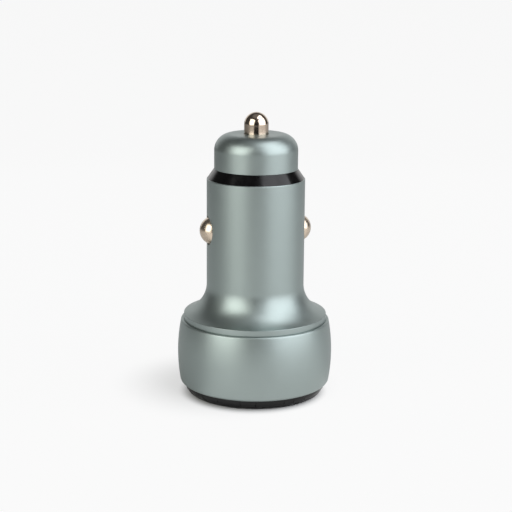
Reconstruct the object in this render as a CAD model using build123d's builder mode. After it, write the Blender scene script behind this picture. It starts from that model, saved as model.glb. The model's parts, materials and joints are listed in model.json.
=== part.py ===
from build123d import *
from math import sqrt
import os

# Charger plug for a vehicle's accessory socket. It stands on its port face, with the tip up.
# Sizes are in millimetres. Heights are measured from the port face, radii from the plug's axis.

# Lower housing, a bulged ring
BULGE_RADIUS = 16.457
BULGE_LIFT = 6.39  # from the housing's foot to its widest ring
HOUSING_HEIGHT = 13.8
SEAM_SET_IN = 0.745  # how far the top lies inside the widest ring
FOOT_SET_IN = 0.607
HOUSING_WALL = 1.4  # at the seam
SHOULDER_ROUNDING = 0.4
EDGE_BREAK = 0.15

# Face plate
FACE_THICKNESS = 2.08
FACE_LEDGE = 0.65  # how far the plate stays inside the housing's foot
FACE_EDGE = 1.0
SKIRT_WALL = 1.2
SKIRT_HEIGHT = 3.0

# Body shell: neck, hollow flare and upright band
NECK_RADIUS = 10.3
NECK_LENGTH = 22.6
NECK_WALL = 1.1
FLARE_RADIUS = 6.6
FLARE_WALL = 2.0  # metal behind the hollow curve, measured along the axis
BAND_HEIGHT = 1.23
BAND_SET_IN = 0.575  # behind the housing's top
SPIGOT_LENGTH = 3.0
SPIGOT_WALL = 1.2

# Nose: insulating collar, cap and pin
COLLAR_HEIGHT = 2.02
COLLAR_SET_IN = 0.15
CAP_SET_IN = 1.55  # how far the cap's side lies inside the neck's
CAP_HEIGHT = 7.31
CAP_ROUNDING = 3.44
CAP_WALL = 1.0
PIN_RADIUS = 2.54
PIN_REACH = 4.5  # above the cap
PIN_FLANGE_RADIUS = 3.5
PIN_FLANGE_THICKNESS = 1.0
PIN_SPRING_LENGTH = 9.0
PIN_SPRING_RADIUS = 2.8  # to the middle of the wire
PIN_SPRING_PITCH = 2.4
PIN_WIRE = 0.6

# Side contacts
CONTACT_DROP = 10.9  # below the neck's top
CONTACT_RADIUS = 3.0
CONTACT_PROUD = 1.624
CONTACT_FLANGE_RADIUS = 3.5
CONTACT_FLANGE_THICKNESS = 0.8
CONTACT_SPRING_LENGTH = 3.3
CONTACT_SPRING_RADIUS = 2.4
CONTACT_SPRING_PITCH = 1.5
CONTACT_WIRE = 0.4
WIRE_SIDES = 6  # flats on a spring's wire, in place of a round

# Spring seats that carry the current to the board
TERMINAL_THICKNESS = 0.3
TERMINAL_TAB = 1.5
TERMINAL_LAP = 1.5

# Circuit board
BOARD_THICKNESS = 1.6
BOARD_EDGE_GAP = 0.3
CORE_MARGIN = 1.2  # moulding left below the contact pockets
CORE_WEB = 1.5  # moulding left between the pockets, the pin chamber and the board

# Ports
USB_WIDTH = 13.14
USB_HEIGHT = 5.72
USB_WALL = 0.31
USB_CORNER = 0.55  # outer rounding of the shell's corners
USB_DEPTH = 13.0
USB_RECESS = 0.3
USB_STANDOFF = 0.6
USB_LEG = 1.2
USB_LEG_HEIGHTS = (4.0, 9.0)
TONGUE_WIDTH = 11.1
TONGUE_THICKNESS = 1.84
TONGUE_GAP = 0.7
TONGUE_RECESS = 2.2
BLOCK_DEPTH = 2.4
BLADE_WIDTH = 1.0
BLADE_THICKNESS = 0.2
BLADE_RECESS = 1.0  # behind the tongue's front
BLADE_TAIL = 0.5  # behind the block
BLADE_POSITIONS = (-3.5, -1.0, 1.0, 3.5)

# Converter parts on the board
INDUCTOR_RADIUS = 3.0
INDUCTOR_HEIGHT = 4.0
INDUCTOR_FLANGE = 0.8
INDUCTOR_POST_RADIUS = 1.5
INDUCTOR_OFFSET = -4.2
WINDING_RADIUS = 2.7
CAPACITOR_RADIUS = 2.5
CAPACITOR_HEIGHT = 5.4
CAPACITOR_OFFSET = 3.0
CAPACITOR_BASE = 5.3
CAPACITOR_BASE_HEIGHT = 0.9
CAPACITOR_BASE_CUT = 1.1
CHIP_LENGTH = 4.9
CHIP_WIDTH = 3.9
CHIP_HEIGHT = 1.5
CHIP_OFFSET = 4.0
CHIP_PITCH = 1.27
LEAD_ROWS = 4
LEAD_WIDTH = 0.4
LEAD_REACH = 1.0
LEAD_THICKNESS = 0.2
LEAD_LEVEL = 0.85  # height above the board at which a lead leaves the chip
LEAD_KNEE = 0.45
DIODE_LENGTH = 4.3
DIODE_WIDTH = 2.6
DIODE_HEIGHT = 2.2
DIODE_TAB = 0.5
DIODE_TAB_WIDTH = 1.5
COMPONENT_GAP = 0.6

# Clearances
FIT_CLEARANCE = 0.1  # between pieces that are pressed or glued together
RUNNING_CLEARANCE = 0.08  # between a hole and what slides in it
POCKET_CLEARANCE = 0.15  # round a flange that slides in its pocket
STOP_GAP = 0.05  # between a flange and its stop
COIL_GAP = 0.02  # between a coil spring and its seats

# Heights and radii that follow
SEAM_HEIGHT = FACE_THICKNESS + HOUSING_HEIGHT
RIM_HEIGHT = SEAM_HEIGHT + BAND_HEIGHT
SEAM_RADIUS = BULGE_RADIUS - SEAM_SET_IN
FOOT_RADIUS = BULGE_RADIUS - FOOT_SET_IN
RIM_RADIUS = SEAM_RADIUS - BAND_SET_IN
FACE_RADIUS = FOOT_RADIUS - FACE_LEDGE
HOUSING_BORE = SEAM_RADIUS - HOUSING_WALL
SPIGOT_RADIUS = HOUSING_BORE - FIT_CLEARANCE
SPIGOT_BORE = SPIGOT_RADIUS - SPIGOT_WALL
FLARE_TOP = RIM_HEIGHT + sqrt(FLARE_RADIUS**2 - (NECK_RADIUS + FLARE_RADIUS - RIM_RADIUS) ** 2)
NECK_TOP = FLARE_TOP + NECK_LENGTH
NECK_BORE = NECK_RADIUS - NECK_WALL
CAP_RADIUS = NECK_RADIUS - CAP_SET_IN
CAP_FOOT = NECK_TOP + COLLAR_HEIGHT
CAP_TOP = CAP_FOOT + CAP_HEIGHT
CAP_SHOULDER = CAP_TOP - CAP_ROUNDING
CAP_BORE = CAP_RADIUS - CAP_WALL
CAP_CEILING = CAP_TOP - CAP_WALL

PIN_TOP = CAP_TOP + PIN_REACH
PIN_STOP = CAP_CEILING - STOP_GAP
PIN_BACK = PIN_STOP - PIN_FLANGE_THICKNESS
PIN_SEAT = PIN_BACK - PIN_SPRING_LENGTH
CHAMBER_RADIUS = PIN_FLANGE_RADIUS + POCKET_CLEARANCE
CHAMBER_FLOOR = PIN_SEAT - TERMINAL_THICKNESS

CONTACT_HEIGHT = NECK_TOP - CONTACT_DROP
CONTACT_REACH = NECK_RADIUS + CONTACT_PROUD
CONTACT_STOP = sqrt(NECK_BORE**2 - CONTACT_FLANGE_RADIUS**2) - STOP_GAP
CONTACT_BACK = CONTACT_STOP - CONTACT_FLANGE_THICKNESS
CONTACT_SEAT = CONTACT_BACK - CONTACT_SPRING_LENGTH
POCKET_RADIUS = CONTACT_FLANGE_RADIUS + POCKET_CLEARANCE
POCKET_FLOOR = CONTACT_SEAT - TERMINAL_THICKNESS

CORE_RADIUS = NECK_BORE - FIT_CLEARANCE
CORE_FOOT = CONTACT_HEIGHT - POCKET_RADIUS - CORE_MARGIN
CORE_TOP = CAP_SHOULDER - FIT_CLEARANCE
BOARD_FACE = BOARD_THICKNESS / 2
BOARD_TOP = CHAMBER_FLOOR - CORE_WEB
BOARD_SHOULDER = CORE_FOOT - FIT_CLEARANCE
BOARD_STEP = SEAM_HEIGHT - BOARD_EDGE_GAP
BOARD_TONGUE = POCKET_FLOOR - CORE_WEB
BOARD_MIDDLE = sqrt(NECK_BORE**2 - BOARD_FACE**2) - BOARD_EDGE_GAP
BOARD_HEAD = sqrt(SPIGOT_BORE**2 - BOARD_FACE**2) - BOARD_EDGE_GAP

USB_BACK = USB_RECESS + USB_DEPTH
USB_BOTTOM = BOARD_FACE + USB_STANDOFF
USB_TOP = USB_BOTTOM + USB_HEIGHT
USB_MIDDLE = USB_BOTTOM + USB_HEIGHT / 2
TONGUE_FRONT = USB_RECESS + TONGUE_RECESS
TONGUE_TOP = USB_TOP - USB_WALL - TONGUE_GAP
TONGUE_BOTTOM = TONGUE_TOP - TONGUE_THICKNESS
BLOCK_FRONT = USB_BACK - BLOCK_DEPTH
COMPONENT_ROW = BOARD_SHOULDER - COMPONENT_GAP - INDUCTOR_RADIUS

PLUG_AXIS = Axis.Z


def ring_edge(piece, height_group, radius_order):
    """One round edge: a level counted along the axis, then a place in the order of radii there."""
    circles = piece.edges().filter_by(GeomType.CIRCLE)
    return circles.group_by(Axis.Z)[height_group].sort_by(SortBy.RADIUS)[radius_order]


def radial_plane(side):
    """Plane through a side contact's axis: X points outwards from the plug."""
    return Plane(origin=(0, 0, CONTACT_HEIGHT), x_dir=(side, 0, 0), z_dir=(0, 1, 0))


def across_plane(side, reach):
    """Plane square to a side contact's axis, facing outwards at this distance from the plug's axis."""
    return Plane(origin=(side * reach, 0, CONTACT_HEIGHT), x_dir=(0, 1, 0), z_dir=(side, 0, 0))


def port_plane(side, height):
    """Plane square to the plug's axis, with Y pointing from the board to this side's port."""
    return Plane(origin=(0, 0, height), x_dir=(side, 0, 0), z_dir=(0, 0, 1))


def board_plane(side, height):
    """Plane on one face of the board, facing away from it."""
    return Plane(origin=(0, side * BOARD_FACE, height), x_dir=(1, 0, 0), z_dir=(0, side, 0))


# Body shell, turned with its spigot that enters the lower housing
with BuildPart() as body_shell:
    with BuildSketch(Plane.XZ):
        with BuildLine():
            Polyline(
                (NECK_RADIUS, FLARE_TOP),
                (NECK_RADIUS, NECK_TOP),
                (NECK_BORE, NECK_TOP),
                (NECK_BORE, FLARE_TOP - FLARE_WALL),
                (SPIGOT_BORE, SEAM_HEIGHT),
                (SPIGOT_BORE, SEAM_HEIGHT - SPIGOT_LENGTH),
                (SPIGOT_RADIUS, SEAM_HEIGHT - SPIGOT_LENGTH),
                (SPIGOT_RADIUS, SEAM_HEIGHT),
                (RIM_RADIUS, SEAM_HEIGHT),
                (RIM_RADIUS, RIM_HEIGHT),
            )
            RadiusArc((RIM_RADIUS, RIM_HEIGHT), (NECK_RADIUS, FLARE_TOP), FLARE_RADIUS)
        make_face()
    revolve(axis=PLUG_AXIS)
    chamfer(ring_edge(body_shell, -1, -1), EDGE_BREAK)
    for side in (-1, 1):
        with BuildSketch(across_plane(side, 0)):
            Circle(CONTACT_RADIUS + RUNNING_CLEARANCE)
        extrude(amount=NECK_RADIUS, mode=Mode.SUBTRACT)

# Lower housing, bulged outside, with a rounded shoulder, and bored straight inside
with BuildPart() as lower_housing:
    with BuildSketch(Plane.XZ):
        with BuildLine():
            Polyline(
                (FOOT_RADIUS, FACE_THICKNESS),
                (HOUSING_BORE, FACE_THICKNESS),
                (HOUSING_BORE, SEAM_HEIGHT),
                (SEAM_RADIUS, SEAM_HEIGHT),
            )
            ThreePointArc(
                (SEAM_RADIUS, SEAM_HEIGHT),
                (BULGE_RADIUS, FACE_THICKNESS + BULGE_LIFT),
                (FOOT_RADIUS, FACE_THICKNESS),
            )
        make_face()
    revolve(axis=PLUG_AXIS)
    fillet(ring_edge(lower_housing, -1, -1), SHOULDER_ROUNDING)
    chamfer(ring_edge(lower_housing, 0, -1), EDGE_BREAK)

# Face plate with a skirt inside the housing and a window for each port
with BuildPart() as face_plate:
    with BuildSketch(Plane.XY):
        Circle(FACE_RADIUS)
    extrude(amount=FACE_THICKNESS)
    chamfer(ring_edge(face_plate, 0, -1), FACE_EDGE)
    with BuildSketch(Plane.XY.offset(FACE_THICKNESS)):
        Circle(HOUSING_BORE - FIT_CLEARANCE)
        Circle(HOUSING_BORE - FIT_CLEARANCE - SKIRT_WALL, mode=Mode.SUBTRACT)
    extrude(amount=SKIRT_HEIGHT)
    with BuildSketch(Plane.XY):
        with Locations((0, USB_MIDDLE), (0, -USB_MIDDLE)):
            RectangleRounded(
                USB_WIDTH + 2 * FIT_CLEARANCE,
                USB_HEIGHT + 2 * FIT_CLEARANCE,
                USB_CORNER + FIT_CLEARANCE,
            )
    extrude(amount=FACE_THICKNESS, mode=Mode.SUBTRACT)

# Insulator core: fills the neck's top, shows as the collar and holds the cap
with BuildPart() as insulator_core:
    with BuildSketch(Plane.XZ):
        with BuildLine():
            Polyline(
                (0, CORE_FOOT),
                (CORE_RADIUS, CORE_FOOT),
                (CORE_RADIUS, NECK_TOP),
                (NECK_RADIUS - COLLAR_SET_IN, NECK_TOP),
                (CAP_RADIUS, CAP_FOOT),
                (CAP_BORE - FIT_CLEARANCE, CAP_FOOT),
                (CAP_BORE - FIT_CLEARANCE, CORE_TOP),
                (CHAMBER_RADIUS, CORE_TOP),
                (CHAMBER_RADIUS, CHAMBER_FLOOR),
                (0, CHAMBER_FLOOR),
                close=True,
            )
        make_face()
    revolve(axis=PLUG_AXIS)
    for side in (-1, 1):
        with BuildSketch(across_plane(side, POCKET_FLOOR)):
            Circle(POCKET_RADIUS)
        extrude(amount=NECK_RADIUS - POCKET_FLOOR, mode=Mode.SUBTRACT)
    with BuildSketch(Plane.XY.offset(CORE_FOOT)):
        Rectangle(2 * (BOARD_TONGUE + FIT_CLEARANCE), BOARD_THICKNESS + 2 * FIT_CLEARANCE)
    extrude(amount=BOARD_TOP + FIT_CLEARANCE - CORE_FOOT, mode=Mode.SUBTRACT)
    # channels for the tails of the spring seats
    with BuildSketch(Plane.XZ.offset(BOARD_FACE)):
        with Locations((0, CONTACT_HEIGHT)):
            Rectangle(2 * POCKET_FLOOR, TERMINAL_TAB + 2 * FIT_CLEARANCE)
    extrude(amount=TERMINAL_THICKNESS + FIT_CLEARANCE, mode=Mode.SUBTRACT)
    with BuildSketch(Plane.XZ.offset(-BOARD_FACE)):
        with Locations((0, BOARD_TOP - TERMINAL_LAP - FIT_CLEARANCE)):
            Rectangle(
                TERMINAL_TAB + 2 * FIT_CLEARANCE,
                CORE_WEB + TERMINAL_LAP + FIT_CLEARANCE,
                align=(Align.CENTER, Align.MIN),
            )
    extrude(amount=-TERMINAL_THICKNESS - FIT_CLEARANCE, mode=Mode.SUBTRACT)

# Nose cap, seated on the collar round the core's spigot
with BuildPart() as nose_cap:
    with BuildSketch(Plane.XZ):
        with BuildLine():
            Polyline(
                (CAP_RADIUS, CAP_SHOULDER),
                (CAP_RADIUS, CAP_FOOT),
                (CAP_BORE, CAP_FOOT),
                (CAP_BORE, CAP_SHOULDER),
                (CAP_RADIUS - CAP_ROUNDING, CAP_CEILING),
                (PIN_RADIUS + RUNNING_CLEARANCE, CAP_CEILING),
                (PIN_RADIUS + RUNNING_CLEARANCE, CAP_TOP),
                (CAP_RADIUS - CAP_ROUNDING, CAP_TOP),
            )
            RadiusArc((CAP_RADIUS - CAP_ROUNDING, CAP_TOP), (CAP_RADIUS, CAP_SHOULDER), CAP_ROUNDING)
        make_face()
    revolve(axis=PLUG_AXIS)

# Centre pin with a domed end and the flange that the cap holds back
with BuildPart() as centre_pin:
    with BuildSketch(Plane.XZ):
        with BuildLine():
            Polyline(
                (0, PIN_TOP),
                (0, PIN_BACK),
                (PIN_FLANGE_RADIUS, PIN_BACK),
                (PIN_FLANGE_RADIUS, PIN_STOP),
                (PIN_RADIUS, PIN_STOP),
                (PIN_RADIUS, PIN_TOP - PIN_RADIUS),
            )
            RadiusArc((0, PIN_TOP), (PIN_RADIUS, PIN_TOP - PIN_RADIUS), PIN_RADIUS)
        make_face()
    revolve(axis=PLUG_AXIS)

# Seat of the pin's spring, with its tail on the board
with BuildPart() as pin_terminal:
    with BuildSketch(Plane.XY.offset(CHAMBER_FLOOR)):
        Circle(PIN_FLANGE_RADIUS)
    extrude(amount=TERMINAL_THICKNESS)
    with BuildSketch(Plane.XZ.offset(-BOARD_FACE)):
        with Locations((0, BOARD_TOP - TERMINAL_LAP)):
            Rectangle(TERMINAL_TAB, CORE_WEB + TERMINAL_LAP, align=(Align.CENTER, Align.MIN))
    extrude(amount=-TERMINAL_THICKNESS)


def coil_spring(seat, direction, length, radius, pitch, wire):
    """Open coil between two seats, from a point on its axis along a direction."""
    start = seat + direction * (wire / 2 + COIL_GAP)
    with BuildPart() as spring:
        with BuildLine() as coil:
            Helix(pitch, length - wire - 2 * COIL_GAP, radius, center=start, direction=direction)
        with BuildSketch(Plane(origin=coil.line @ 0, z_dir=coil.line % 0)):
            RegularPolygon(wire / 2, WIRE_SIDES)
        sweep(path=coil.line, is_frenet=True)
    return spring


def side_contact(side):
    """Domed plunger, held back by its flange behind the neck's wall."""
    centre = CONTACT_REACH - CONTACT_RADIUS
    with BuildPart() as contact:
        with BuildSketch(radial_plane(side)):
            with BuildLine():
                Polyline(
                    (CONTACT_REACH, 0),
                    (CONTACT_BACK, 0),
                    (CONTACT_BACK, CONTACT_FLANGE_RADIUS),
                    (CONTACT_STOP, CONTACT_FLANGE_RADIUS),
                    (CONTACT_STOP, CONTACT_RADIUS),
                    (centre, CONTACT_RADIUS),
                )
                RadiusArc((centre, CONTACT_RADIUS), (CONTACT_REACH, 0), CONTACT_RADIUS)
            make_face()
        revolve(axis=Axis((0, 0, CONTACT_HEIGHT), (side, 0, 0)))
    return contact


def ground_terminal(side):
    """Seat of a side contact's spring, with its tail on the board's tongue."""
    tail_end = BOARD_TONGUE - TERMINAL_LAP
    with BuildPart() as terminal:
        with BuildSketch(across_plane(side, POCKET_FLOOR)):
            Circle(CONTACT_FLANGE_RADIUS)
        extrude(amount=TERMINAL_THICKNESS)
        with BuildSketch(Plane.XZ.offset(BOARD_FACE)):
            with Locations((side * (tail_end + CONTACT_SEAT) / 2, CONTACT_HEIGHT)):
                Rectangle(CONTACT_SEAT - tail_end, TERMINAL_TAB)
        extrude(amount=TERMINAL_THICKNESS)
    return terminal


# Circuit board, stepped to fit the housing, the neck and the core
with BuildPart() as circuit_board:
    with BuildSketch(Plane.XZ.offset(-BOARD_FACE)):
        with BuildLine():
            Polyline(
                (0, FACE_THICKNESS),
                (BOARD_HEAD, FACE_THICKNESS),
                (BOARD_HEAD, BOARD_STEP),
                (BOARD_MIDDLE, BOARD_STEP),
                (BOARD_MIDDLE, BOARD_SHOULDER),
                (BOARD_TONGUE, BOARD_SHOULDER),
                (BOARD_TONGUE, BOARD_TOP),
                (0, BOARD_TOP),
            )
            mirror(about=Plane.YZ)
        make_face()
    extrude(amount=BOARD_THICKNESS)


def usb_shell(side):
    """Pressed metal shell of a port, open at the front and standing on four legs."""
    with BuildPart() as shell:
        with BuildSketch(port_plane(side, USB_RECESS)):
            with Locations((0, USB_MIDDLE)):
                RectangleRounded(USB_WIDTH, USB_HEIGHT, USB_CORNER)
                RectangleRounded(
                    USB_WIDTH - 2 * USB_WALL,
                    USB_HEIGHT - 2 * USB_WALL,
                    USB_CORNER - USB_WALL,
                    mode=Mode.SUBTRACT,
                )
        extrude(amount=USB_DEPTH)
        leg_middle = (USB_WIDTH - USB_WALL) / 2
        for height in USB_LEG_HEIGHTS:
            with BuildSketch(port_plane(side, height)):
                with Locations((leg_middle, BOARD_FACE), (-leg_middle, BOARD_FACE)):
                    Rectangle(USB_WALL, USB_STANDOFF + USB_CORNER, align=(Align.CENTER, Align.MIN))
            extrude(amount=USB_LEG)
    return shell


def usb_insulator(side):
    """Moulded tongue on the block that closes the back of a port."""
    with BuildPart() as insulator:
        with BuildSketch(port_plane(side, BLOCK_FRONT)):
            with Locations((0, USB_MIDDLE)):
                Rectangle(
                    USB_WIDTH - 2 * (USB_WALL + FIT_CLEARANCE),
                    USB_HEIGHT - 2 * (USB_WALL + FIT_CLEARANCE),
                )
            blade_level = TONGUE_BOTTOM - BLADE_THICKNESS / 2
            with Locations([(offset, blade_level) for offset in BLADE_POSITIONS]):
                Rectangle(BLADE_WIDTH, BLADE_THICKNESS, mode=Mode.SUBTRACT)
        extrude(amount=BLOCK_DEPTH)
        with BuildSketch(port_plane(side, TONGUE_FRONT)):
            with Locations((0, TONGUE_BOTTOM)):
                Rectangle(TONGUE_WIDTH, TONGUE_THICKNESS, align=(Align.CENTER, Align.MIN))
        extrude(amount=BLOCK_FRONT - TONGUE_FRONT)
    return insulator


def usb_blades(side):
    """Contact blades under the tongue, each bent down to the board behind the block."""
    blade_front = TONGUE_FRONT + BLADE_RECESS
    blade_back = USB_BACK + BLADE_TAIL
    with BuildPart() as blades:
        for offset in BLADE_POSITIONS:
            middle = side * offset
            with BuildSketch(Plane(origin=(middle, 0, 0), x_dir=(0, side, 0), z_dir=(side, 0, 0))):
                with BuildLine():
                    Polyline(
                        (TONGUE_BOTTOM, blade_front),
                        (TONGUE_BOTTOM, blade_back),
                        (BOARD_FACE, blade_back),
                        (BOARD_FACE, blade_back - BLADE_THICKNESS),
                        (TONGUE_BOTTOM - BLADE_THICKNESS, blade_back - BLADE_THICKNESS),
                        (TONGUE_BOTTOM - BLADE_THICKNESS, blade_front),
                        close=True,
                    )
                make_face()
            extrude(amount=BLADE_WIDTH / 2, both=True)
    return blades


# Inductor: a ferrite drum and the copper wound on it
with BuildPart() as inductor_core:
    with BuildSketch(board_plane(1, COMPONENT_ROW)):
        with Locations((INDUCTOR_OFFSET, 0)):
            Circle(INDUCTOR_RADIUS)
    extrude(amount=INDUCTOR_HEIGHT)
    with BuildSketch(board_plane(1, COMPONENT_ROW).offset(INDUCTOR_FLANGE)):
        with Locations((INDUCTOR_OFFSET, 0)):
            Circle(INDUCTOR_RADIUS)
            Circle(INDUCTOR_POST_RADIUS, mode=Mode.SUBTRACT)
    extrude(amount=INDUCTOR_HEIGHT - 2 * INDUCTOR_FLANGE, mode=Mode.SUBTRACT)

with BuildPart() as inductor_winding:
    with BuildSketch(board_plane(1, COMPONENT_ROW).offset(INDUCTOR_FLANGE)):
        with Locations((INDUCTOR_OFFSET, 0)):
            Circle(WINDING_RADIUS)
            Circle(INDUCTOR_POST_RADIUS, mode=Mode.SUBTRACT)
    extrude(amount=INDUCTOR_HEIGHT - 2 * INDUCTOR_FLANGE)


def capacitor(offset):
    """Electrolytic can on a square base with two cut corners, on the board's other face."""
    foot = board_plane(-1, COMPONENT_ROW)
    with BuildPart() as can:
        with BuildSketch(foot) as base:
            with Locations((offset, 0)):
                Rectangle(CAPACITOR_BASE, CAPACITOR_BASE)
            chamfer(base.vertices().group_by(Axis.X)[-1], CAPACITOR_BASE_CUT)
        extrude(amount=CAPACITOR_BASE_HEIGHT)
        with BuildSketch(foot.offset(CAPACITOR_BASE_HEIGHT)):
            with Locations((offset, 0)):
                Circle(CAPACITOR_RADIUS)
        extrude(amount=CAPACITOR_HEIGHT - CAPACITOR_BASE_HEIGHT)
        chamfer(can.edges().filter_by(GeomType.CIRCLE).sort_by(Axis.Y)[0], EDGE_BREAK)
    return can


# Converter chip with its leads, which reach out and bend down to the board
with BuildPart() as converter_chip:
    with BuildSketch(board_plane(1, COMPONENT_ROW)):
        with Locations((CHIP_OFFSET, 0)):
            Rectangle(CHIP_WIDTH, CHIP_LENGTH)
    extrude(amount=CHIP_HEIGHT)
    knee = CHIP_WIDTH / 2 + LEAD_KNEE
    toe = CHIP_WIDTH / 2 + LEAD_REACH
    for row in range(LEAD_ROWS):
        height = COMPONENT_ROW + CHIP_PITCH * (row - (LEAD_ROWS - 1) / 2)
        with BuildSketch(Plane(origin=(CHIP_OFFSET, BOARD_FACE, height))):
            with BuildLine():
                Polyline(
                    (0, LEAD_LEVEL),
                    (knee, LEAD_LEVEL),
                    (knee, LEAD_THICKNESS),
                    (toe, LEAD_THICKNESS),
                    (toe, 0),
                    (knee - LEAD_THICKNESS, 0),
                    (knee - LEAD_THICKNESS, LEAD_LEVEL - LEAD_THICKNESS),
                    (0, LEAD_LEVEL - LEAD_THICKNESS),
                )
                mirror(about=Plane.YZ)
            make_face()
        extrude(amount=LEAD_WIDTH / 2, both=True)

# Diode with a tab at either end
with BuildPart() as rectifier_diode:
    diode_height = COMPONENT_ROW - INDUCTOR_RADIUS - COMPONENT_GAP - DIODE_WIDTH / 2
    with BuildSketch(board_plane(1, diode_height)):
        Rectangle(DIODE_LENGTH, DIODE_WIDTH)
    extrude(amount=DIODE_HEIGHT)
    with BuildSketch(board_plane(1, diode_height)):
        Rectangle(DIODE_LENGTH + 2 * DIODE_TAB, DIODE_TAB_WIDTH)
    extrude(amount=LEAD_THICKNESS)

pieces = {
    "body_shell": body_shell,
    "lower_housing": lower_housing,
    "face_plate": face_plate,
    "insulator_core": insulator_core,
    "nose_cap": nose_cap,
    "centre_pin": centre_pin,
    "pin_terminal": pin_terminal,
    "circuit_board": circuit_board,
    "inductor_core": inductor_core,
    "inductor_winding": inductor_winding,
    "input_capacitor": capacitor(CAPACITOR_OFFSET),
    "output_capacitor": capacitor(-CAPACITOR_OFFSET),
    "converter_chip": converter_chip,
    "rectifier_diode": rectifier_diode,
}
pieces["pin_spring"] = coil_spring(
    Vector(0, 0, PIN_SEAT), Vector(0, 0, 1), PIN_SPRING_LENGTH,
    PIN_SPRING_RADIUS, PIN_SPRING_PITCH, PIN_WIRE,
)
for name, side in (("left", -1), ("right", 1)):
    pieces[f"{name}_contact"] = side_contact(side)
    pieces[f"{name}_ground_terminal"] = ground_terminal(side)
    pieces[f"{name}_contact_spring"] = coil_spring(
        Vector(side * CONTACT_SEAT, 0, CONTACT_HEIGHT), Vector(side, 0, 0), CONTACT_SPRING_LENGTH,
        CONTACT_SPRING_RADIUS, CONTACT_SPRING_PITCH, CONTACT_WIRE,
    )
for name, side in (("usb_a", 1), ("usb_b", -1)):
    pieces[f"{name}_shell"] = usb_shell(side)
    pieces[f"{name}_insulator"] = usb_insulator(side)
    pieces[f"{name}_blades"] = usb_blades(side)

os.makedirs("parts", exist_ok=True)
for label, piece in pieces.items():
    piece.part.label = label
    export_step(piece.part, f"parts/{label}.step")
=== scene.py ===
import json
from math import atan2, cos, pi, radians, sin, sqrt, tan

import bmesh
import bpy
from mathutils import Matrix, Vector


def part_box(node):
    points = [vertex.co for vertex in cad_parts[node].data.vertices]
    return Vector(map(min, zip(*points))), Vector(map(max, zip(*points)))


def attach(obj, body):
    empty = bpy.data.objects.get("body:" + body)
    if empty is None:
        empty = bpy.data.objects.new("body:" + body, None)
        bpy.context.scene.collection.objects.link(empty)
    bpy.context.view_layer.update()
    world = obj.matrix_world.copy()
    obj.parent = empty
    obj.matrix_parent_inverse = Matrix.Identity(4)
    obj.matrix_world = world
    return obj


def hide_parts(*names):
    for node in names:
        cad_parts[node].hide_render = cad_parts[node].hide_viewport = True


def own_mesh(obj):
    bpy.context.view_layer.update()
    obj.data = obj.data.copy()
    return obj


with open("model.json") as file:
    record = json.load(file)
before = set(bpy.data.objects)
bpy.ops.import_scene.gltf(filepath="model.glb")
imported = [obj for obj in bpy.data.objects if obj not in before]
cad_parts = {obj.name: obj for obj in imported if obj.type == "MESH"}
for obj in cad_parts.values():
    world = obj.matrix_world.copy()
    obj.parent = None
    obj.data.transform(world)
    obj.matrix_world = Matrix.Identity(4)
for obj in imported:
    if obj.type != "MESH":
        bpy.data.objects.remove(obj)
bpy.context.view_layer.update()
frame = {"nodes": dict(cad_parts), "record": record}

# Charger plug with two ports, a sprung tip and two sprung side contacts. It stands on its port face.

# Each node's material slot and body
record = frame["record"]
SLOTS = {subpart["node"]: subpart["material_slot"] for subpart in record["subparts"]}
BODIES = {node: body for body, nodes in record["behaviour"]["bodies"].items() for node in nodes}

# Sizes are in millimetres until something is placed. Heights are measured from the port face.
MM = 0.001


def box_mm(node):
    """A node's lowest and highest corners."""
    return [Vector(corner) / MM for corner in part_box(node)]


shell_low, shell_high = box_mm("body_shell")
housing_low, housing_high = box_mm("lower_housing")
cap_low, cap_high = box_mm("nose_cap")
pin_low, pin_high = box_mm("centre_pin")
contact_low, contact_high = box_mm("right_contact")

# Clearances and edges
FIT_CLEARANCE = 0.1
RUNNING_CLEARANCE = 0.08
EDGE_BREAK = 0.15
EDGE_ROUNDING = 0.08

# Lower housing
HOUSING_WALL = 1.4
BULGE_LIFT = 6.39  # from the foot up to the widest place
FOOT_SET_IN = 0.607  # from the widest place
SEAM_SET_IN = 0.745
SHOULDER_ROUNDING = 0.4
FOOT_ROUNDING = 0.8
FACE_THICKNESS = housing_low.z
SEAM_HEIGHT = housing_high.z
BULGE_RADIUS = housing_high.x
BULGE_HEIGHT = FACE_THICKNESS + BULGE_LIFT
FOOT_RADIUS = BULGE_RADIUS - FOOT_SET_IN
SEAM_RADIUS = BULGE_RADIUS - SEAM_SET_IN
HOUSING_BORE = SEAM_RADIUS - HOUSING_WALL

# Body shell
SPIGOT_WALL = 1.2
BAND_SET_IN = 0.575  # from the seam
BAND_HEIGHT = 1.23
NECK_RADIUS = 10.3
NECK_WALL = 1.1
NECK_LENGTH = 22.6
FLARE_RADIUS = 6.6
FLARE_WALL = 2.0
SPIGOT_FOOT = shell_low.z
SPIGOT_RADIUS = HOUSING_BORE - FIT_CLEARANCE
SPIGOT_BORE = SPIGOT_RADIUS - SPIGOT_WALL
RIM_RADIUS = SEAM_RADIUS - BAND_SET_IN
RIM_HEIGHT = SEAM_HEIGHT + BAND_HEIGHT
NECK_BORE = NECK_RADIUS - NECK_WALL
NECK_TOP = shell_high.z
FLARE_TOP = NECK_TOP - NECK_LENGTH

# Nose
CAP_ROUNDING = 3.44
CAP_WALL = 1.0
CAP_RADIUS = cap_high.x
CAP_FOOT = cap_low.z
CAP_TOP = cap_high.z
CAP_SHOULDER = CAP_TOP - CAP_ROUNDING
PIN_RADIUS = 2.54
PIN_FLANGE_THICKNESS = 1.0
PIN_TOP = pin_high.z
PIN_BACK = pin_low.z
PIN_FLANGE_RADIUS = pin_high.x

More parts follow.
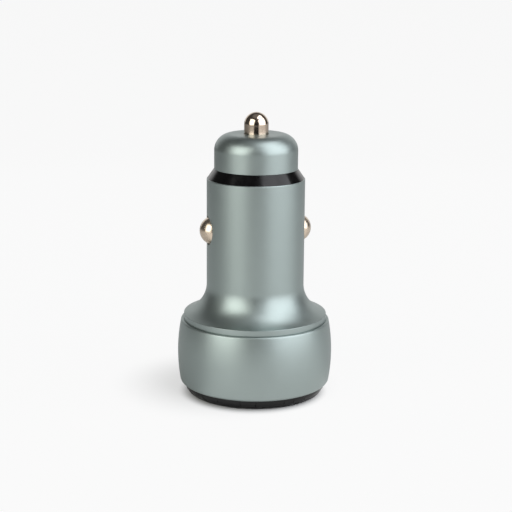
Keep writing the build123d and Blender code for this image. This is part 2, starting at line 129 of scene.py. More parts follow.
# Side contacts
SIDES = {"left": -1, "right": 1}  # along X
CONTACT_RADIUS = 3.0
CONTACT_FLANGE_THICKNESS = 0.8
CONTACT_HEIGHT = (contact_low.z + contact_high.z) / 2
CONTACT_REACH = contact_high.x
CONTACT_BACK = contact_low.x
CONTACT_FLANGE_RADIUS = contact_high.y
CONTACT_HOLE = CONTACT_RADIUS + RUNNING_CLEARANCE

# Springs and winding
PIN_SPRING = {"length": 9.0, "radius": 2.8, "pitch": 2.4, "wire": 0.6}
CONTACT_SPRING = {"length": 3.3, "radius": 2.4, "pitch": 1.5, "wire": 0.4}
COIL_GAP = 0.02  # between a spring and its seats
WINDING_BORE = 1.5
WINDING_WIRE = 0.4

# Face plate, and the roundings of the ports and the inner pieces
FACE_DRAW = 0.3  # how far the plate's side is drawn in
RIM_INSIDE = 13.5  # the edges of the plate's rim lie outside this radius
RIM_ROUNDING = 0.45
PORT_ROUNDING = 0.15
ROUNDINGS = {
    "pin_terminal": 0.05,
    "left_ground_terminal": 0.05,
    "right_ground_terminal": 0.05,
    "circuit_board": 0.06,
    "usb_a_shell": 0.08,
    "usb_b_shell": 0.08,
    "usb_a_insulator": 0.1,
    "usb_b_insulator": 0.1,
    "usb_a_blades": 0.04,
    "usb_b_blades": 0.04,
    "inductor_core": 0.15,
    "input_capacitor": 0.1,
    "output_capacitor": 0.1,
    "converter_chip": 0.05,
    "rectifier_diode": 0.08,
}

# Mesh fineness
TURNS = 192
SMALL_TURNS = 96
ARC_STEPS = 26
CORNER_STEPS = 4
SHOULDER_STEPS = 10
ROUNDING_STEPS = 3
WIRE_SIDES = 14
WIRE_STEPS = 8  # round half a wire of the winding
COIL_STEPS = 40  # for each turn of a spring
HOLE_COLUMNS = 12  # from a contact hole's middle to the edge of its patch
HOLE_STEP = 2 * pi / TURNS * NECK_RADIUS
HOLE_ROWS = [CONTACT_HEIGHT + HOLE_STEP * row for row in range(-HOLE_COLUMNS, HOLE_COLUMNS + 1)]
HOLE_RINGS = (0.0, 0.04, 0.12, 0.3, 0.6)  # shares of the way from the hole to that edge
ON_AXIS = 1e-6  # radius below which a point lies on the axis
WELD = 0.0005
FLAT_ANGLE = radians(1)
SLIGHT_TURN = radians(20)
CREASE_ANGLE = radians(35)
SHARP_ANGLE = radians(40)
EDGE_SHARE = 0.45  # of an edge, the most that the rounding of a corner takes

# View, with azimuth 0 towards -Y and growing towards +X
VIEW_AZIMUTH = -12.0
VIEW_ELEVATION = 13.458
VIEW_DISTANCE = 296.62
VIEW_HEIGHT = 29.254
VIEW_SIDESTEP = 0.139
VIEW_ROLL = 0.470
LENS = 98.44
SENSOR = 36.0
CLIP = (10.0, 20000.0)

# Floor, with azimuths from the camera
FLOOR_HALF = 3000.0
FLOOR_COLOUR = 0.6
# painted shade: the bare floor's colour darkens far out, mostly seen in reflections
FLOOR_END = (250.0, 340.0)  # radii between which the bare floor turns darker
FLOOR_END_COLOUR = 0.36
FLOOR_WHITE = 0.97  # what the camera and reflections see in place of the bare floor
FLOOR_GLOW = 0.96  # share of the white round the object
# painted shade in reflections: the white that reflections see of the floor fades far out
FAR_FLOOR = (110.0, 260.0)  # radii between which reflections of the floor turn dimmer
FAR_FLOOR_GLOW = 0.72  # share of the white beyond
PAINTED_SHADOWS = (
    # painted shadows, where less white shows and the darker bare floor comes through: azimuth and shift of
    # its middle, radii between which it ends, share of the white within and beyond
    (-115.0, 7.0, (9.0, 26.0), 0.62, FLOOR_GLOW),
    (-12.0, 1.4, (12.9, 16.3), 0.0, 1.0),
)
PAINTED_SHADES = (
    # painted shade that only reflections see: azimuth, angles from it between which reflections turn to
    # the bare floor, share of the bare floor
    (-115.0, (82.0, 38.0), 0.88),
    (140.0, (60.0, 20.0), 0.68),
)
# painted shade in reflections on one more side, where the far floor is darker
FLOOR_END_SHADE = (-75.0, (75.0, 45.0))  # azimuth and angles of one more, where the floor is darker

# Light, with azimuths from the camera
SOFTBOX_DISTANCE = 800.0
SOFTBOXES = {
    # name: azimuth, half width, lowest and highest elevation, radiance, colour
    "left_softbox": (-46, 23, -2, 49, 3.0, (1.0, 1.0, 0.95)),
    "right_softbox": (62, 35, -2, 50, 2.75, (0.94, 0.96, 1.0)),
    "right_top": (72, 24, 50, 78, 2.8, (0.94, 0.96, 1.0)),
}
ROOM_LIGHT = 0.065
HORIZON_LIGHT = 0.95
HORIZON_TOP = (20.0, 54.0)  # elevations between which the pale backdrop ends
CAMERA_SIDE = (152.0, 122.0)  # angles from the camera between which the backdrop ends
CEILING_LIGHT = 0.17  # what the ceiling adds
CEILING_EDGE = (55.0, 75.0)  # elevations between which the ceiling starts
CARD_DISTANCE = 320.0
CARD_HALF_WIDTH = 125.0
CARD_HEIGHT = 140.0
CARD_COLOUR = 0.02


# Shader nodes


def new_material(name):
    """Empty node material, with its node tree and its principled shader."""
    material = bpy.data.materials.new(name)
    material.use_nodes = True
    tree = material.node_tree
    shader = next(node for node in tree.nodes if node.type == "BSDF_PRINCIPLED")
    return material, tree, shader


def fade(tree, value, start, end, first, last, course="SMOOTHSTEP"):
    """Change from one value to another while an input goes from start to end."""
    scale = tree.nodes.new("ShaderNodeMapRange")
    scale.interpolation_type = course
    scale.inputs["From Min"].default_value = start
    scale.inputs["From Max"].default_value = end
    scale.inputs["To Min"].default_value = first
    scale.inputs["To Max"].default_value = last
    tree.links.new(value, scale.inputs["Value"])
    return scale.outputs["Result"]


def combine(tree, operation, first, second):
    """Joins two values into one."""
    math = tree.nodes.new("ShaderNodeMath")
    math.operation = operation
    tree.links.new(first, math.inputs[0])
    tree.links.new(second, math.inputs[1])
    return math.outputs["Value"]


def blend_colours(tree, factor, first, second):
    """Mixes two colours by a factor."""
    mix = tree.nodes.new("ShaderNodeMix")
    mix.data_type = "RGBA"
    mix.inputs["A"].default_value = (*first, 1)
    mix.inputs["B"].default_value = (*second, 1)
    tree.links.new(factor, mix.inputs["Factor"])
    return mix.outputs["Result"]


# Materials, each with a fine grain, and with patches that differ a little in colour and roughness

GRAIN_DETAIL = 3.0
NOISE_RANGE = (0.3, 0.7)  # where most values of a noise lie
PLAIN_GLOSS = 0.5
FINISHES = {
    "shell_metal": {
        "dark": (0.312, 0.362, 0.350), "light": (0.328, 0.380, 0.368), "roughness": (0.40, 0.44),
        "metallic": 1.0, "grain_size": 0.2, "grain_depth": 0.004, "patch_size": 2.5,
    },
    "black_plastic": {
        "dark": (0.0015, 0.0014, 0.0014), "light": (0.0025, 0.0023, 0.0024), "roughness": (0.12, 0.2),
        "metallic": 0.0, "grain_size": 0.2, "grain_depth": 0.001, "patch_size": 1.5, "gloss": 0.34,
    },
    "face_plastic": {
        "dark": (0.003, 0.0028, 0.0028), "light": (0.005, 0.0047, 0.0047), "roughness": (0.2, 0.28),
        "metallic": 0.0, "grain_size": 0.2, "grain_depth": 0.002, "patch_size": 1.5, "gloss": 0.3,
    },
    "nickel": {
        "dark": (0.64, 0.53, 0.42), "light": (0.69, 0.58, 0.46), "roughness": (0.24, 0.3),
        "metallic": 1.0, "grain_size": 0.3, "grain_depth": 0.0005, "patch_size": 1.0,
    },
    # darker copy of the nickel: painted shade on the tip pin, which is also made less rough
    "pin_nickel_painted_shade": {
        "dark": (0.56, 0.46, 0.37), "light": (0.61, 0.51, 0.41), "roughness": (0.1, 0.15),
        "metallic": 1.0, "grain_size": 0.3, "grain_depth": 0.0005, "patch_size": 1.0,
    },
    "spring_steel": {
        "dark": (0.50, 0.50, 0.50), "light": (0.58, 0.58, 0.57), "roughness": (0.25, 0.38),
        "metallic": 1.0, "grain_size": 0.1, "grain_depth": 0.002, "patch_size": 0.8,
    },
    "brass": {
        "dark": (0.70, 0.50, 0.22), "light": (0.78, 0.58, 0.28), "roughness": (0.18, 0.3),
        "metallic": 1.0, "grain_size": 0.15, "grain_depth": 0.002, "patch_size": 0.8,
    },
    "board": {
        "dark": (0.010, 0.10, 0.045), "light": (0.015, 0.14, 0.06), "roughness": (0.3, 0.45),
        "metallic": 0.0, "grain_size": 0.25, "grain_depth": 0.004, "patch_size": 1.2,
    },
    "port_steel": {
        "dark": (0.56, 0.56, 0.55), "light": (0.63, 0.63, 0.62), "roughness": (0.2, 0.32),
        "metallic": 1.0, "grain_size": 0.12, "grain_depth": 0.002, "patch_size": 1.0,
    },
    "port_plastic": {
        "dark": (0.02, 0.02, 0.02), "light": (0.03, 0.03, 0.03), "roughness": (0.4, 0.55),
        "metallic": 0.0, "grain_size": 0.15, "grain_depth": 0.004, "patch_size": 1.0,
    },
    "ferrite": {
        "dark": (0.045, 0.045, 0.05), "light": (0.07, 0.07, 0.075), "roughness": (0.5, 0.7),
        "metallic": 0.0, "grain_size": 0.12, "grain_depth": 0.01, "patch_size": 0.7,
    },
    "copper": {
        "dark": (0.62, 0.26, 0.12), "light": (0.72, 0.34, 0.16), "roughness": (0.2, 0.34),
        "metallic": 1.0, "grain_size": 0.3, "grain_depth": 0.01, "patch_size": 0.8,
    },
    "capacitor_can": {
        "dark": (0.60, 0.60, 0.62), "light": (0.68, 0.68, 0.70), "roughness": (0.25, 0.36),
        "metallic": 1.0, "grain_size": 0.12, "grain_depth": 0.002, "patch_size": 1.0,
    },
    "chip_plastic": {
        "dark": (0.018, 0.018, 0.018), "light": (0.028, 0.028, 0.028), "roughness": (0.5, 0.65),
        "metallic": 0.0, "grain_size": 0.1, "grain_depth": 0.006, "patch_size": 0.8,
    },
}


def grain(tree, size):
    """Noise in the piece's own coordinates, with grains of a size in millimetres."""
    place = tree.nodes.new("ShaderNodeTexCoord")
    noise = tree.nodes.new("ShaderNodeTexNoise")
    noise.inputs["Scale"].default_value = 1 / (size * MM)
    noise.inputs["Detail"].default_value = GRAIN_DETAIL
    tree.links.new(place.outputs["Object"], noise.inputs["Vector"])
    return noise.outputs["Fac"]


def relief(tree, shader, height, depth):
    """Raises the surface by a noise, to a depth in millimetres."""
    bump = tree.nodes.new("ShaderNodeBump")
    bump.inputs["Strength"].default_value = 1.0
    bump.inputs["Distance"].default_value = depth * MM
    tree.links.new(height, bump.inputs["Height"])
    tree.links.new(bump.outputs["Normal"], shader.inputs["Normal"])


def surface(
    name, dark, light, roughness, metallic, grain_size, grain_depth, patch_size, gloss=PLAIN_GLOSS
):
    """Material with a fine relief, and slow changes of colour and roughness from patch to patch."""
    material, tree, shader = new_material(name)
    shader.inputs["Metallic"].default_value = metallic
    shader.inputs["Specular IOR Level"].default_value = gloss
    patches = grain(tree, patch_size)
    tree.links.new(blend_colours(tree, patches, dark, light), shader.inputs["Base Color"])
    rough = fade(tree, patches, *NOISE_RANGE, *roughness, course="LINEAR")
    tree.links.new(rough, shader.inputs["Roughness"])
    relief(tree, shader, grain(tree, grain_size), grain_depth)
    return material


MATERIALS = {name: surface(name, **finish) for name, finish in FINISHES.items()}
for node, slot in SLOTS.items():
    frame["nodes"][node].data.materials[0] = MATERIALS[slot]


# Profiles of (radius, height) points


def arc(centre, radius, start, end, steps=ARC_STEPS):
    """Points along a circle's arc, between two angles in radians."""
    angles = [start + (end - start) * step / steps for step in range(steps + 1)]
    return [(centre[0] + radius * cos(a), centre[1] + radius * sin(a)) for a in angles]


def circle_through(first, middle, last):
    """Centre and radius of the circle through three points."""
    (ax, ay), (bx, by), (cx, cy) = first, middle, last
    twice = 2 * (ax * (by - cy) + bx * (cy - ay) + cx * (ay - by))
    a2, b2, c2 = ax**2 + ay**2, bx**2 + by**2, cx**2 + cy**2
    centre = (
        (a2 * (by - cy) + b2 * (cy - ay) + c2 * (ay - by)) / twice,
        (a2 * (cx - bx) + b2 * (ax - cx) + c2 * (bx - ax)) / twice,
    )
    return centre, sqrt((ax - centre[0]) ** 2 + (ay - centre[1]) ** 2)


def soften(corners):
    """Closed profile whose corners are small arcs, apart from those on the axis and slight ones."""
    points = []
    for place, corner in enumerate(corners):
        here = Vector(corner)
        back = Vector(corners[place - 1]) - here
        ahead = Vector(corners[(place + 1) % len(corners)]) - here
        turn = pi - back.angle(ahead)
        if turn < SLIGHT_TURN or here.x < ON_AXIS:
            points.append(corner)
            continue
        longest = EDGE_SHARE * min(back.length, ahead.length)
        reach = min(EDGE_ROUNDING * tan(turn / 2), longest)
        start, end = here + back.normalized() * reach, here + ahead.normalized() * reach
        for step in range(CORNER_STEPS + 1):
            share = step / CORNER_STEPS
            bow = start.lerp(here, share).lerp(here.lerp(end, share), share)
            points.append((bow.x, bow.y))
    return points


# Meshes


def in_scene(name, data):
    """New object of the scene."""
    thing = bpy.data.objects.new(name, data)
    bpy.context.scene.collection.objects.link(thing)
    return thing


def finished(bm, node, making, finish=None):
    """Turns a bmesh into a shaded piece that stands for a CAD node."""
    name, body, slot = f"{node}_{making}", BODIES[node], SLOTS[node]
    bmesh.ops.recalc_face_normals(bm, faces=bm.faces)
    mesh = bpy.data.meshes.new(name)
    bm.to_mesh(mesh)
    bm.free()
    mesh.materials.append(MATERIALS[finish or slot])
    mesh.shade_smooth()
    mesh.set_sharp_from_angle(angle=SHARP_ANGLE)
    piece = in_scene(name, mesh)
    normals = piece.modifiers.new("even_normals", "WEIGHTED_NORMAL")
    normals.keep_sharp = True
    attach(piece, body)
    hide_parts(node)
    return piece


def bridge(bm, first, second):
    """Faces between two rings of as many vertices."""
    for place in range(len(first)):
        after = (place + 1) % len(first)
        bm.faces.new((first[place], first[after], second[after], second[place]))


def turned_rings(bm, profile, turns):
    """Rings of vertices round Z, one for each point of a profile. A point on the axis is one vertex."""
    angles = [2 * pi * turn / turns for turn in range(turns)]
    rings = []
    for radius, height in profile:
        if radius < ON_AXIS:
            ring = [bm.verts.new((0, 0, height * MM))] * turns
        else:
            places = [(radius * cos(a) * MM, radius * sin(a) * MM, height * MM) for a in angles]
            ring = [bm.verts.new(place) for place in places]
        rings.append(ring)
    return rings


def skin(bm, rings, left_out=lambda ring, column: False):
    """Faces between neighbouring rings, and from the last ring back to the first."""
    for place, ring in enumerate(rings):
        above = rings[(place + 1) % len(rings)]
        for column in range(len(ring)):
            after = (column + 1) % len(ring)
            corners = dict.fromkeys((ring[column], ring[after], above[after], above[column]))
            if len(corners) > 2 and not left_out(place, column):
                bm.faces.new(corners)


def turned_piece(profile, node, turns=TURNS, placed=Matrix(), finish=None):
    """One closed turned piece."""
    bm = bmesh.new()
    skin(bm, turned_rings(bm, profile, turns))
    bm.transform(placed)
    finished(bm, node, "turned", finish)


def turn_to(side):
    """Turn that takes +Z to one side of the plug."""
    return Matrix.Rotation(side * pi / 2, 4, "Y")


# Body shell, turned, with a round hole for each side contact


def body_shell_profile():
    """Profile round the wall, from the rim up the neck, down the bore and back by the shoulder."""
    rim_angle = atan2(RIM_HEIGHT - FLARE_TOP, RIM_RADIUS - NECK_RADIUS - FLARE_RADIUS)
    corners = [
        *arc((NECK_RADIUS + FLARE_RADIUS, FLARE_TOP), FLARE_RADIUS, rim_angle, -pi),
        *[(NECK_RADIUS, height) for height in HOLE_ROWS],
        (NECK_RADIUS, NECK_TOP - EDGE_BREAK),
        (NECK_RADIUS - EDGE_BREAK, NECK_TOP),
        (NECK_BORE, NECK_TOP),
        *[(NECK_BORE, height) for height in reversed(HOLE_ROWS)],
        (NECK_BORE, FLARE_TOP - FLARE_WALL),
        (SPIGOT_BORE, SEAM_HEIGHT),
        (SPIGOT_BORE, SPIGOT_FOOT),
        (SPIGOT_RADIUS, SPIGOT_FOOT),
        (SPIGOT_RADIUS, SEAM_HEIGHT),
        (RIM_RADIUS, SEAM_HEIGHT),
    ]
    return soften(corners)


def window(rings, rows, middle):
    """Vertices round the edge of a square window in the rings, in order."""
    columns = [(middle + step) % TURNS for step in range(-HOLE_COLUMNS, HOLE_COLUMNS + 1)]
    low, high = rings[rows[0]], rings[rows[-1]]
    edge = [low[column] for column in columns[:-1]]
    edge += [rings[row][columns[-1]] for row in rows[:-1]]
    edge += [high[column] for column in reversed(columns[1:])]
    edge += [rings[row][columns[0]] for row in reversed(rows[1:])]
    return edge


def ring_in_wall(bm, edge, directions, side, wall, hole, share, depth=0.0):
    """Ring on a round wall, a share of the way from a hole's circle to the window's edge."""
    made = []
    for vertex, (across, up) in zip(edge, directions):
        y = hole * across + share * (vertex.co.y / MM - hole * across)
        z = hole * up + share * (vertex.co.z / MM - CONTACT_HEIGHT - hole * up)
        x = side * (sqrt(wall**2 - y**2) - depth)
        made.append(bm.verts.new((x * MM, y * MM, (CONTACT_HEIGHT + z) * MM)))
    return made


def contact_hole(bm, rings, outer_rows, inner_rows, side):
    """Fills the two windows of one contact, up to a round hole with a rounded edge."""
    middle = 0 if side > 0 else TURNS // 2
    outer, inner = window(rings, outer_rows, middle), window(rings, inner_rows, middle)
    angles = [atan2(v.co.z / MM - CONTACT_HEIGHT, v.co.y / MM) for v in outer]
    directions = [(cos(a), sin(a)) for a in angles]
    mouth = CONTACT_HOLE + EDGE_ROUNDING
    loops = [outer]
    for share in reversed(HOLE_RINGS):
        loops.append(ring_in_wall(bm, outer, directions, side, NECK_RADIUS, mouth, share))
    for step in range(1, CORNER_STEPS + 1):
        turn = pi / 2 * step / CORNER_STEPS
        radius, depth = mouth - EDGE_ROUNDING * sin(turn), EDGE_ROUNDING * (1 - cos(turn))
        loops.append(ring_in_wall(bm, outer, directions, side, NECK_RADIUS, radius, 0, depth))
    for share in HOLE_RINGS:
        loops.append(ring_in_wall(bm, inner, directions, side, NECK_BORE, CONTACT_HOLE, share))
    loops.append(inner)
    for first, second in zip(loops, loops[1:]):
        bridge(bm, first, second)


def body_shell():
    """The turned shell with its two holes."""
    profile = body_shell_profile()
    bm = bmesh.new()
    rings = turned_rings(bm, profile, TURNS)
    outer_rows = [profile.index((NECK_RADIUS, height)) for height in HOLE_ROWS]
    inner_rows = [profile.index((NECK_BORE, height)) for height in HOLE_ROWS]
    windowed = set(outer_rows[:-1]) | set(inner_rows[1:])

    def in_window(ring, column):
        """Tells the faces that a contact's patch takes the place of."""
        return ring in windowed and (column + HOLE_COLUMNS) % (TURNS // 2) < 2 * HOLE_COLUMNS

    skin(bm, rings, in_window)
    for side in SIDES.values():
        contact_hole(bm, rings, outer_rows, inner_rows, side)
    finished(bm, "body_shell", "turned")


body_shell()


# Lower housing, nose cap, pin and side contacts


def lower_housing_profile():
    """Bulged outside with rounded edges, and a straight bore."""
    middle, bulge = circle_through(
        (SEAM_RADIUS, SEAM_HEIGHT), (BULGE_RADIUS, BULGE_HEIGHT), (FOOT_RADIUS, FACE_THICKNESS)
    )

    def edge(height, rounding):
        """Centre of an edge's rounding, and the angle at which it runs into the bulge."""
        rise = height - middle[1]
        reach = sqrt((bulge - rounding) ** 2 - rise**2)
        return (middle[0] + reach, height), atan2(rise, reach)

    shoulder, upper = edge(SEAM_HEIGHT - SHOULDER_ROUNDING, SHOULDER_ROUNDING)
    foot, lower = edge(FACE_THICKNESS + FOOT_ROUNDING, FOOT_ROUNDING)
    corners = [
        *arc(shoulder, SHOULDER_ROUNDING, pi / 2, upper, SHOULDER_STEPS),
        *arc(middle, bulge, upper, lower, 2 * ARC_STEPS)[1:],
        *arc(foot, FOOT_ROUNDING, lower, -pi / 2, SHOULDER_STEPS)[1:],
        (HOUSING_BORE, FACE_THICKNESS),
        (HOUSING_BORE, SEAM_HEIGHT),
    ]
    return soften(corners)


def nose_cap_profile():
    """Rounded cap with a hole for the pin."""
    corners = [
        *arc((CAP_RADIUS - CAP_ROUNDING, CAP_SHOULDER), CAP_ROUNDING, pi / 2, 0),
        (CAP_RADIUS, CAP_FOOT),
        (CAP_RADIUS - CAP_WALL, CAP_FOOT),
        (CAP_RADIUS - CAP_WALL, CAP_SHOULDER),
        (CAP_RADIUS - CAP_ROUNDING, CAP_TOP - CAP_WALL),
        (PIN_RADIUS + RUNNING_CLEARANCE, CAP_TOP - CAP_WALL),
        (PIN_RADIUS + RUNNING_CLEARANCE, CAP_TOP),
    ]
    return soften(corners)


def plunger_profile(radius, tip, back, flange_radius, flange_thickness):
    """Domed plunger with a flange at its back."""
    stop = back + flange_thickness
    corners = [
        (0, tip),
        *arc((0, tip - radius), radius, pi / 2, 0)[1:],
        (radius, stop),
        (flange_radius, stop),
        (flange_radius, back),
        (0, back),
    ]
    return soften(corners)


pin_profile = plunger_profile(PIN_RADIUS, PIN_TOP, PIN_BACK, PIN_FLANGE_RADIUS, PIN_FLANGE_THICKNESS)
contact_profile = plunger_profile(
    CONTACT_RADIUS, CONTACT_REACH, CONTACT_BACK, CONTACT_FLANGE_RADIUS, CONTACT_FLANGE_THICKNESS
)
turned_piece(lower_housing_profile(), "lower_housing")
turned_piece(nose_cap_profile(), "nose_cap")
# the pin takes the darker nickel, which paints shade on it
turned_piece(pin_profile, "centre_pin", SMALL_TURNS, finish="pin_nickel_painted_shade")
for name, side in SIDES.items():
    placed = Matrix.Translation((0, 0, CONTACT_HEIGHT * MM)) @ turn_to(side)
    turned_piece(contact_profile, f"{name}_contact", SMALL_TURNS, placed)


# Face plate, ports and inner pieces, with rounded edges


def round_edges(bm, edges, width):
    """Rounds some edges of a mesh."""
    bmesh.ops.bevel(
        bm, geom=edges, offset=width * MM, offset_type="OFFSET", segments=ROUNDING_STEPS,
        profile=0.5, affect="EDGES", clamp_overlap=True,
    )
    bmesh.ops.dissolve_degenerate(bm, dist=WELD * MM, edges=bm.edges)


def creases(bm):
    """Edges at which a mesh turns sharply."""
    return [edge for edge in bm.edges if edge.is_manifold and edge.calc_face_angle() > CREASE_ANGLE]


def welded_copy(node):
    """Copy of a CAD node's mesh without the cuts in its flat faces."""
    bm = bmesh.new()
    bm.from_mesh(frame["nodes"][node].data)
    bmesh.ops.remove_doubles(bm, verts=bm.verts, dist=WELD * MM)
    bmesh.ops.dissolve_limit(bm, angle_limit=FLAT_ANGLE, verts=bm.verts, edges=bm.edges)
    return bm


def rounded_copy(node, width):
    """Copy of a CAD node's mesh with its sharp edges rounded."""
    bm = welded_copy(node)
    round_edges(bm, creases(bm), width)
    finished(bm, node, "rounded")


def on_foot(edge):
    """Tells the edges round the foot of the face plate."""
    highest = max(corner.co.z for corner in edge.verts) / MM
    nearest = min(corner.co.xy.length for corner in edge.verts) / MM
    return highest < FACE_THICKNESS - PORT_ROUNDING and nearest > RIM_INSIDE


def face_plate():
    """Plate with a rounded foot, drawn in under the rounding of the housing."""
    bm = welded_copy("face_plate")
    for corner in bm.verts:
        radius = corner.co.xy.length / MM
        if radius > HOUSING_BORE and corner.co.z > 0:
            corner.co.xy *= (radius - FACE_DRAW) / radius
    round_edges(bm, [edge for edge in creases(bm) if not on_foot(edge)], PORT_ROUNDING)
    round_edges(bm, [edge for edge in creases(bm) if on_foot(edge)], RIM_ROUNDING)
    finished(bm, "face_plate", "rounded", "face_plastic")


face_plate()
for node, width in ROUNDINGS.items():
    rounded_copy(node, width)


# Springs of round wire


def helix(length, radius, pitch, wire):
    """Points along a spring's wire, each with its directions outwards and along the wire."""
    rise = length - wire - 2 * COIL_GAP
    turns = rise / pitch
    steps = round(turns * COIL_STEPS)
    points = []
    for step in range(steps + 1):
        angle = 2 * pi * turns * step / steps
        outwards = Vector((cos(angle), sin(angle), 0))
        along = Vector((-sin(angle), cos(angle), pitch / (2 * pi * radius))).normalized()
        height = COIL_GAP + wire / 2 + rise * step / steps
        points.append((outwards * radius + Vector((0, 0, height)), outwards, along))
    return points


def coil_spring(node, joint, seat, turn, axis, length, radius, pitch, wire):
    """Spring that stands on its seat and carries a plunger."""
    bm = bmesh.new()
    rings = []
    for centre, outwards, along in helix(length, radius, pitch, wire):
        sideways = along.cross(outwards)
        ring = []
        for side in range(WIRE_SIDES):
            angle = 2 * pi * side / WIRE_SIDES
            place = centre + (outwards * cos(angle) + sideways * sin(angle)) * wire / 2
            ring.append(bm.verts.new(place * MM))
        rings.append(ring)
    for first, second in zip(rings, rings[1:]):
        bridge(bm, first, second)
    bm.faces.new(rings[0])
    bm.faces.new(rings[-1])
    bm.transform(Matrix.Translation(seat * MM) @ turn)
    piece = finished(bm, node, "wound")
    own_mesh(piece)


pin_seat = Vector((0, 0, PIN_BACK - PIN_SPRING["length"]))
coil_spring("pin_spring", "pin_press", pin_seat, Matrix(), (0, 0, 1), **PIN_SPRING)
for name, side in SIDES.items():
    seat = Vector((side * (CONTACT_BACK - CONTACT_SPRING["length"]), 0, CONTACT_HEIGHT))
    coil_spring(
        f"{name}_contact_spring", f"{name}_dome_press", seat, turn_to(side), (1, 0, 0), **CONTACT_SPRING
    )


# Winding of the inductor, with its turns showing


def winding():
    """Turned winding whose outside follows the wire's turns."""
    low, high = box_mm("inductor_winding")
    radius, length = (high.x - low.x) / 2, high.y - low.y
    turns = round(length / WINDING_WIRE)
    pitch = length / turns
    outside = []
    for turn in range(turns):
        middle = (radius - pitch / 2, pitch * (turn + 0.5))
        outside += arc(middle, pitch / 2, -pi / 2, pi / 2, WIRE_STEPS)[:-1]
    profile = [(WINDING_BORE, 0), *outside, (radius - pitch / 2, length), (WINDING_BORE, length)]
    centre = (low + high) / 2
    foot = Matrix.Translation(Vector((centre.x, low.y, centre.z)) * MM)
    placed = foot @ Matrix.Rotation(-pi / 2, 4, "X")
    turned_piece(profile, "inductor_winding", SMALL_TURNS, placed)


winding()


# Floor


def towards(azimuth, elevation=0):
    """Direction from the object, with azimuths from the camera."""
    a, e = radians(VIEW_AZIMUTH + azimuth), radians(elevation)
    return Vector((sin(a) * cos(e), -cos(a) * cos(e), sin(e)))


def panel(name, corners, material):
    """Flat piece of the studio with four corners."""
    mesh = bpy.data.meshes.new(name)
    mesh.from_pydata([Vector(corner) * MM for corner in corners], [], [(0, 1, 2, 3)])
    mesh.materials.append(material)
    return in_scene(name, mesh)


def nearness(tree, heading, azimuth, sector):
    """1 where a level heading lies close to an azimuth, and 0 far from it."""
    share = tree.nodes.new("ShaderNodeVectorMath")
    share.operation = "DOT_PRODUCT"
    share.inputs[1].default_value = towards(azimuth)
    tree.links.new(heading, share.inputs[0])
    wide, narrow = (cos(radians(angle)) for angle in sector)
    return fade(tree, share.outputs["Value"], wide, narrow, 0.0, 1.0)


def clearance(tree, place, centre, radii, first, last):
    """Change from one value to another with the distance from a point."""
    distance = tree.nodes.new("ShaderNodeVectorMath")
    distance.operation = "DISTANCE"
    distance.inputs[1].default_value = centre * MM
    tree.links.new(place, distance.inputs[0])
    near, far = (radius * MM for radius in radii)
    return fade(tree, distance.outputs["Value"], near, far, first, last)


def floor_in_reflections(tree, place, rays, beyond):
    """Share of the white that reflections see: less far out, and less on the sides with painted shade,
    which the camera doesn't see.
    """
    unit = tree.nodes.new("ShaderNodeVectorMath")
    unit.operation = "NORMALIZE"
    tree.links.new(place, unit.inputs[0])
    heading = unit.outputs["Vector"]
    mirrored = combine(tree, "MAXIMUM", rays["Is Glossy Ray"], rays["Is Transmission Ray"])
    far = clearance(tree, place, Vector(), FAR_FLOOR, 1.0, FAR_FLOOR_GLOW)
    mirrored = combine(tree, "MULTIPLY", mirrored, far)
    for azimuth, sector, share in PAINTED_SHADES:
        shade = nearness(tree, heading, azimuth, sector)
        lit = fade(tree, shade, 0.0, 1.0, 1.0, 1.0 - share)
        mirrored = combine(tree, "MULTIPLY", mirrored, lit)
    shade = combine(tree, "MULTIPLY", nearness(tree, heading, *FLOOR_END_SHADE), beyond)
    lit = fade(tree, shade, 0.0, 1.0, 1.0, 0.0)
    return combine(tree, "MULTIPLY", mirrored, lit)


def floor_material():
    """Pale floor that the camera sees as white, apart from painted shadows where the darker bare floor and
    its real shadows show, and so do most reflections.
    """
    material, tree, shader = new_material("floor")
    shader.inputs["Roughness"].default_value = 1.0
    shader.inputs["Specular IOR Level"].default_value = 0.0
    place = tree.nodes.new("ShaderNodeTexCoord").outputs["Object"]
    # painted shade: a darker bare floor far out
    beyond = clearance(tree, place, Vector(), FLOOR_END, 0.0, 1.0)
    colour = blend_colours(tree, beyond, (FLOOR_COLOUR,) * 3, (FLOOR_END_COLOUR,) * 3)
    tree.links.new(colour, shader.inputs["Base Color"])
    rays = tree.nodes.new("ShaderNodeLightPath").outputs
    mirrored = floor_in_reflections(tree, place, rays, beyond)
    seen = combine(tree, "MAXIMUM", rays["Is Camera Ray"], mirrored)
    # painted shadows: less of the white round the object
    for azimuth, shift, radii, within, outside in PAINTED_SHADOWS:
        light = clearance(tree, place, towards(azimuth) * shift, radii, within, outside)
        seen = combine(tree, "MULTIPLY", seen, light)
    white = tree.nodes.new("ShaderNodeEmission")
    white.inputs["Strength"].default_value = FLOOR_WHITE
    mix = tree.nodes.new("ShaderNodeMixShader")
    tree.links.new(seen, mix.inputs["Fac"])
    tree.links.new(shader.outputs["BSDF"], mix.inputs[1])
    tree.links.new(white.outputs["Emission"], mix.inputs[2])
    output = next(node for node in tree.nodes if node.type == "OUTPUT_MATERIAL")
    tree.links.new(mix.outputs["Shader"], output.inputs["Surface"])
    return material


def floor():
    """Wide level floor that the plug stands on."""
    signs = ((-1, -1), (1, -1), (1, 1), (-1, 1))
    corners = [(x * FLOOR_HALF, y * FLOOR_HALF, 0) for x, y in signs]
    ground = panel("floor", corners, floor_material())


floor()


# Light: softboxes in a dim room, and a dark card that only reflections show


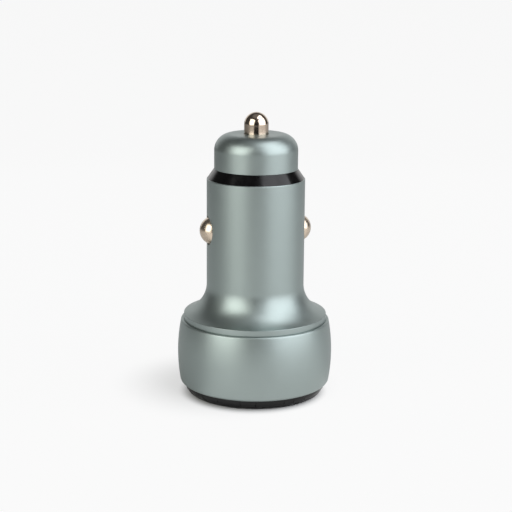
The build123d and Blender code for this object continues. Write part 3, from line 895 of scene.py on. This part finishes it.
def softbox(name, azimuth, half_width, lowest, highest, radiance, colour):
    """Rectangular lamp that faces the object."""
    lamp = bpy.data.lights.new(name, "AREA")
    lamp.shape = "RECTANGLE"
    lamp.size = 2 * SOFTBOX_DISTANCE * tan(radians(half_width)) * MM
    lamp.size_y = 2 * SOFTBOX_DISTANCE * tan(radians(highest - lowest) / 2) * MM
    lamp.energy = radiance * pi * lamp.size * lamp.size_y
    lamp.color = colour
    holder = in_scene(name, lamp)
    out = towards(azimuth, (lowest + highest) / 2)
    holder.location = (out * SOFTBOX_DISTANCE + Vector((0, 0, VIEW_HEIGHT))) * MM
    holder.rotation_euler = (-out).to_track_quat("-Z", "Y").to_euler()
    holder.visible_camera = False


def climb(tree, height, elevations, first, last):
    """Change from one value to another between two elevations."""
    low, high = (sin(radians(angle)) for angle in elevations)
    return fade(tree, height, low, high, first, last)


def room():
    """Dim room with a pale ceiling, and a pale backdrop along the horizon that the camera's side lacks."""
    world = bpy.data.worlds.new("room")
    bpy.context.scene.world = world
    world.use_nodes = True
    tree = world.node_tree
    heading = tree.nodes.new("ShaderNodeTexCoord").outputs["Generated"]
    axes = tree.nodes.new("ShaderNodeSeparateXYZ")
    tree.links.new(heading, axes.inputs["Vector"])
    backdrop = climb(tree, axes.outputs["Z"], HORIZON_TOP, 1.0, 0.0)
    facing = nearness(tree, heading, 0, CAMERA_SIDE)
    opening = fade(tree, facing, 0.0, 1.0, 1.0, 0.0)
    share = combine(tree, "MULTIPLY", backdrop, opening)
    walls = fade(tree, share, 0.0, 1.0, ROOM_LIGHT, HORIZON_LIGHT)
    ceiling = climb(tree, axes.outputs["Z"], CEILING_EDGE, 0.0, CEILING_LIGHT)
    light = combine(tree, "ADD", walls, ceiling)
    camera_rays = tree.nodes.new("ShaderNodeLightPath").outputs["Is Camera Ray"]
    seen = fade(tree, camera_rays, 0.0, 1.0, 0.0, FLOOR_WHITE * FLOOR_GLOW)
    background = tree.nodes["Background"]
    tree.links.new(combine(tree, "MAXIMUM", light, seen), background.inputs["Strength"])
    background.inputs["Color"].default_value = (1, 1, 1, 1)


def dark_card():
    """Upright card just behind the camera, dark as the camera's side of a studio is."""
    material, _, shader = new_material("dark_card")
    shader.inputs["Base Color"].default_value = (CARD_COLOUR, CARD_COLOUR, CARD_COLOUR, 1)
    shader.inputs["Roughness"].default_value = 1.0
    across = towards(90) * CARD_HALF_WIDTH
    foot = towards(0) * CARD_DISTANCE
    up = Vector((0, 0, CARD_HEIGHT))
    corners = [foot - across, foot + across, foot + across + up, foot - across + up]
    card = panel("dark_card", corners, material)
    card.visible_camera = False
    card.visible_diffuse = False
    card.visible_shadow = False


for name, values in SOFTBOXES.items():
    softbox(name, *values)
room()
dark_card()


# Camera


def camera():
    """Camera that sees the plug as the photograph does."""
    lens = bpy.data.cameras.new("camera")
    lens.lens = LENS
    lens.sensor_width = SENSOR
    lens.clip_start, lens.clip_end = (reach * MM for reach in CLIP)
    holder = in_scene("camera", lens)
    back = towards(0, VIEW_ELEVATION)
    aim = (-back).to_track_quat("-Z", "Y")
    right = aim @ Vector((1, 0, 0))
    target = Vector((0, 0, VIEW_HEIGHT)) + right * VIEW_SIDESTEP
    holder.location = (target + back * VIEW_DISTANCE) * MM
    holder.rotation_mode = "QUATERNION"
    holder.rotation_quaternion = aim @ Matrix.Rotation(radians(VIEW_ROLL), 4, "Z").to_quaternion()
    bpy.context.scene.camera = holder


camera()
bpy.context.scene.view_settings.view_transform = "Standard"
